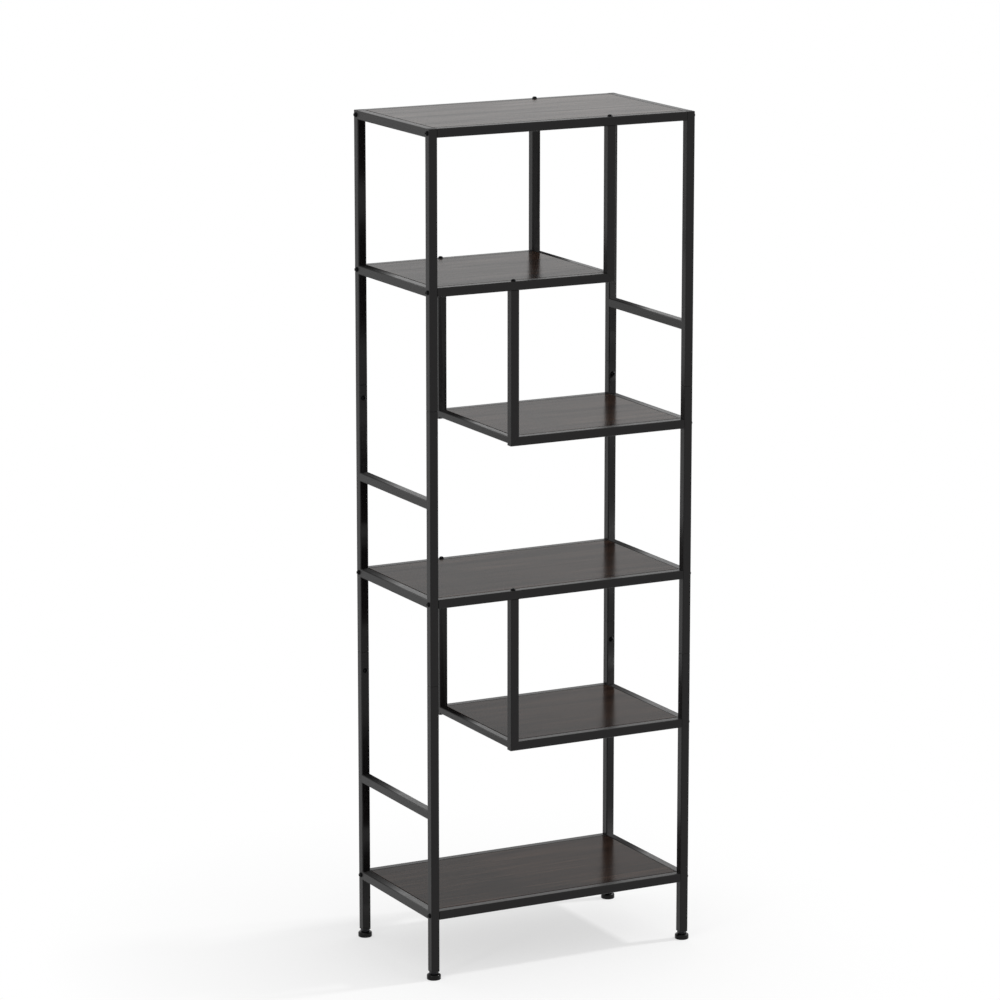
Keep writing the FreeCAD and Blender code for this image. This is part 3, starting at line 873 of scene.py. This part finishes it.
def postPlugs():
    low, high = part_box("post_plugs")
    block = halfSide - tube["wall"] - postPlug["clearance"]
    seat = low.z + postPlug["flange"]
    edge, corner, blockCorner = postPlug["edge"], tube["corner"], postPlug["blockCorner"]
    outline = (              # height, half width and corner of each ring
        (low.z, halfSide - edge, corner - edge),
        (low.z + edge, halfSide, corner),
        (seat, halfSide, corner),
        (seat, block, blockCorner),
        (high.z - edge, block, blockCorner),
        (high.z, block - edge, blockCorner),
    )
    rings = [(z, roundedSquare(half, half, radius, postPlug["steps"])) for z, half, radius in outline]
    flange = roundedSquare(halfSide, halfSide, corner, postPlug["steps"])
    bore = [Vector(point).normalized() * postPlug["bore"] for point in flange]
    rings += [(high.z, bore), (low.z, bore)]
    shape = bmesh.new()
    for x, y in postMiddles("lower"):
        skin(shape, [[Vector((x + u, y + v, z)) for u, v in ring] for z, ring in rings], ring=True)
    mesh = toMesh("post_plugs", shape, edgeCrease)
    finishPiece("post_plugs.inserts", mesh, polyethylene, root, ["post_plugs"])


postPlugs()
print("post plugs made")

# The sleeves inside the posts show nowhere, so they stay as packed
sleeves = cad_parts["splice_sleeves"].data
sleeves.materials.clear()
sleeves.materials.append(zincSteel)

# Stage: a pale floor that fades to white, a white surround, a lamp high on the right and a
# narrow one from the left that draws a line of light along the rounded corners
stage = {
    "white": "#ffffff",
    "floorRadius": 7,
    "floorSides": 96,
    "floorColor": "#f7f7f7",
    "floorRoughness": 0.9,
    "floorWhite": 0.62,      # share of plain white in the floor by the shelf
    "fadeStart": 0.35,       # metres from the middle of the floor
    "fadeEnd": 1.05,
    "surround": 0.7,
    "lampTarget": (0, 0, 0.6),
}
highLamp = {"place": (4.6, -0.65, 4.4), "size": (0.5, 0.5), "power": 190}
stripLamp = {"place": (-3.6, -2.0, 1.3), "size": (0.25, 2.4), "power": 18}


# Whether a ray comes from the camera, a mirror or glass, and so shows the white itself
def showsWhite(tree):
    rays = addNode(tree, "ShaderNodeLightPath").outputs
    seen = addNode(tree, "ShaderNodeMath", {"operation": "MAXIMUM"}, {
        0: rays["Is Camera Ray"], 1: rays["Is Glossy Ray"]})
    return addNode(tree, "ShaderNodeMath", {"operation": "MAXIMUM"}, {
        0: seen.outputs[0], 1: rays["Is Transmission Ray"]}).outputs[0]


def whiteSurround():
    world = bpy.data.worlds.new("whiteSurround")
    world.use_nodes = True
    tree = world.node_tree
    strength = addNode(tree, "ShaderNodeMix", {"data_type": "FLOAT"}, {
        "Factor": showsWhite(tree), floatA: stage["surround"], floatB: 1.0})
    background = tree.nodes["Background"]
    background.inputs["Color"].default_value = linearColor(stage["white"])
    tree.links.new(strength.outputs[floatMixed], background.inputs["Strength"])
    scene.world = world


def paleFloor():
    material, tree, shader = newMaterial("paleFloor", stage["floorColor"])
    shader.inputs["Roughness"].default_value = stage["floorRoughness"]
    shader.inputs["Specular IOR Level"].default_value = 0
    place = addNode(tree, "ShaderNodeTexCoord").outputs["Object"]
    reach = addNode(tree, "ShaderNodeVectorMath", {"operation": "LENGTH"}, {0: place})
    fade = addNode(tree, "ShaderNodeMapRange", inputs={
        "Value": reach.outputs["Value"], "From Min": stage["fadeStart"], "From Max": stage["fadeEnd"],
        "To Min": stage["floorWhite"]})
    share = addNode(tree, "ShaderNodeMath", {"operation": "MULTIPLY"}, {
        0: fade.outputs["Result"], 1: showsWhite(tree)})
    white = addNode(tree, "ShaderNodeEmission", inputs={
        "Color": linearColor(stage["white"]), "Strength": 1})
    mixed = addNode(tree, "ShaderNodeMixShader", inputs={
        0: share.outputs[0], 1: shader.outputs[0], 2: white.outputs[0]})
    clear = addNode(tree, "ShaderNodeBsdfTransparent")
    oneSided = addNode(tree, "ShaderNodeMixShader", inputs={
        0: addNode(tree, "ShaderNodeNewGeometry").outputs["Backfacing"],
        1: mixed.outputs[0], 2: clear.outputs[0]})      # seen from below, the floor isn't there
    tree.links.new(oneSided.outputs[0], tree.nodes["Material Output"].inputs["Surface"])
    shape = bmesh.new()
    bmesh.ops.create_circle(
        shape, cap_ends=True, radius=stage["floorRadius"], segments=stage["floorSides"])
    mesh = toMesh("floor", shape)
    mesh.materials.append(material)
    floor = bpy.data.objects.new("floor", mesh)
    scene.collection.objects.link(floor)


def addLamp(name, spec):
    lamp = bpy.data.lights.new(name, "AREA")
    lamp.shape = "RECTANGLE"
    lamp.size, lamp.size_y = spec["size"]
    lamp.energy = spec["power"]
    holder = bpy.data.objects.new(name, lamp)
    holder.location = spec["place"]
    aim = Vector(stage["lampTarget"]) - Vector(spec["place"])
    holder.rotation_euler = aim.to_track_quat("-Z", "Y").to_euler()
    scene.collection.objects.link(holder)


whiteSurround()
paleFloor()
addLamp("highLamp", highLamp)
addLamp("stripLamp", stripLamp)
print("stage made")
